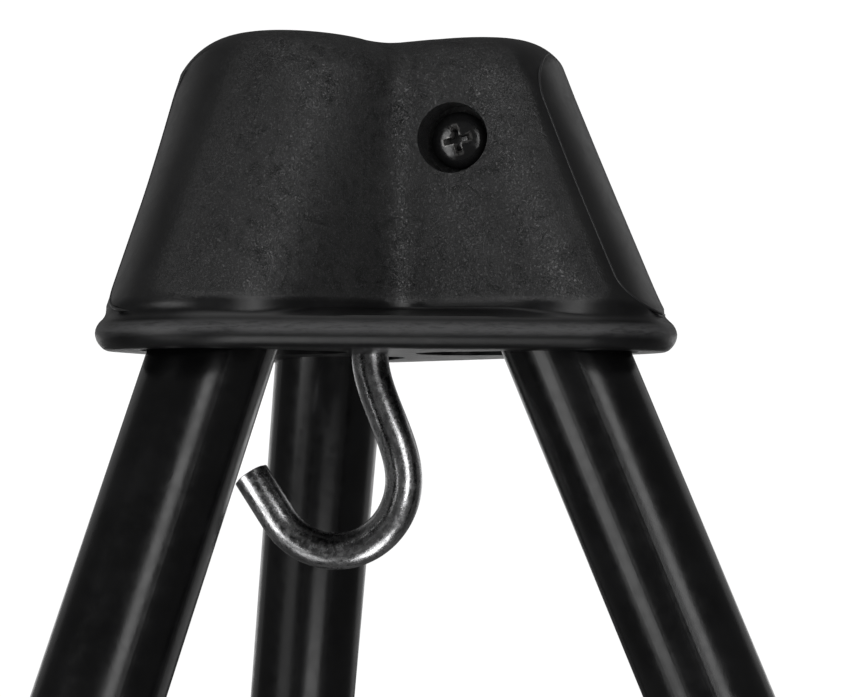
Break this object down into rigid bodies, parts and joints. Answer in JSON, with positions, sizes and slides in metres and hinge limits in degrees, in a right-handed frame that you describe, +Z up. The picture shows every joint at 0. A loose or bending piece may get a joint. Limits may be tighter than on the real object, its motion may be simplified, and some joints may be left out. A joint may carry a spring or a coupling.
{
  "type": "tripod hunting stand",
  "caption": "Folding tripod stand: moulded three-lobed head, telescopic round steel legs with clamp collars, rubber feet and a bent-wire hook hanging under the head.",
  "frame": {"origin": "middle of the footprint's box, on the ground the feet stand on", "axes": "+Z up; +X is the way leg a leans out from the head; legs b and c lean out 120 and 240 degrees round from it, anticlockwise from above"},
  "size_m": [1.2088, 1.39, 1.83],
  "materials": {
    "head_plastic": "black moulded plastic with a fine leathery grain, semi-matt",
    "tube_paint": "black powder coat, satin gloss",
    "black_steel": "black zinc plated screw steel, glossy",
    "zinc_steel": "bright zinc plating, slightly mottled",
    "nylon": "black nylon, lightly textured",
    "rubber": "matt black rubber"
  },
  "bodies": {
    "head": {"head_shell": "head_plastic", "hook": "zinc_steel", "hook_nut": "zinc_steel", "pivot_sleeve_a": "zinc_steel", "pivot_sleeve_b": "zinc_steel", "pivot_sleeve_c": "zinc_steel", "pivot_screw_a": "black_steel", "pivot_screw_b": "black_steel", "pivot_screw_c": "black_steel"},
    "upper_leg_a": {"upper_tube_a": "tube_paint", "leg_plug_a": "nylon", "clamp_collar_a": "nylon", "collar_nut_a": "zinc_steel", "collar_screw_a": "black_steel"},
    "lower_leg_a": {"lower_tube_a": "tube_paint", "glide_bush_a": "nylon", "foot_a": "rubber"},
    "clamp_a": {"clamp_knob_a": "nylon", "clamp_stud_a": "zinc_steel"},
    "upper_leg_b": {"upper_tube_b": "tube_paint", "leg_plug_b": "nylon", "clamp_collar_b": "nylon", "collar_nut_b": "zinc_steel", "collar_screw_b": "black_steel"},
    "lower_leg_b": {"lower_tube_b": "tube_paint", "glide_bush_b": "nylon", "foot_b": "rubber"},
    "clamp_b": {"clamp_knob_b": "nylon", "clamp_stud_b": "zinc_steel"},
    "upper_leg_c": {"upper_tube_c": "tube_paint", "leg_plug_c": "nylon", "clamp_collar_c": "nylon", "collar_nut_c": "zinc_steel", "collar_screw_c": "black_steel"},
    "lower_leg_c": {"lower_tube_c": "tube_paint", "glide_bush_c": "nylon", "foot_c": "rubber"},
    "clamp_c": {"clamp_knob_c": "nylon", "clamp_stud_c": "zinc_steel"}
  },
  "joints": [
    {"name": "leg_fold_a", "type": "hinge", "parent": "head", "child": "upper_leg_a", "pos_m": [-0.17008, 0, 1.807], "axis": [0, 1, 0], "range_deg": [0, 22.5]},
    {"name": "leg_extend_a", "type": "slide", "parent": "upper_leg_a", "child": "lower_leg_a", "axis": [0.3853, 0, -0.9228], "range_m": [-0.84, 0]},
    {"name": "clamp_turn_a", "type": "hinge", "parent": "upper_leg_a", "child": "clamp_a", "pos_m": [0.26021, 0, 0.84512], "axis": [0.9228, 0, 0.3853], "range_deg": [0, 360]},
    {"name": "leg_fold_b", "type": "hinge", "parent": "head", "child": "upper_leg_b", "pos_m": [-0.20827, 0.02206, 1.807], "axis": [-0.866, -0.5, 0], "range_deg": [0, 22.5]},
    {"name": "leg_extend_b", "type": "slide", "parent": "upper_leg_b", "child": "lower_leg_b", "axis": [-0.1926, 0.3336, -0.9228], "range_m": [-0.84, 0]},
    {"name": "clamp_turn_b", "type": "hinge", "parent": "upper_leg_b", "child": "clamp_b", "pos_m": [-0.42342, 0.3947, 0.84512], "axis": [-0.4614, 0.7992, 0.3853], "range_deg": [0, 360]},
    {"name": "leg_fold_c", "type": "hinge", "parent": "head", "child": "upper_leg_c", "pos_m": [-0.20827, -0.02206, 1.807], "axis": [0.866, -0.5, 0], "range_deg": [0, 22.5]},
    {"name": "leg_extend_c", "type": "slide", "parent": "upper_leg_c", "child": "lower_leg_c", "axis": [-0.1926, -0.3336, -0.9228], "range_m": [-0.84, 0]},
    {"name": "clamp_turn_c", "type": "hinge", "parent": "upper_leg_c", "child": "clamp_c", "pos_m": [-0.42342, -0.3947, 0.84512], "axis": [-0.4614, -0.7992, 0.3853], "range_deg": [0, 360]}
  ]
}
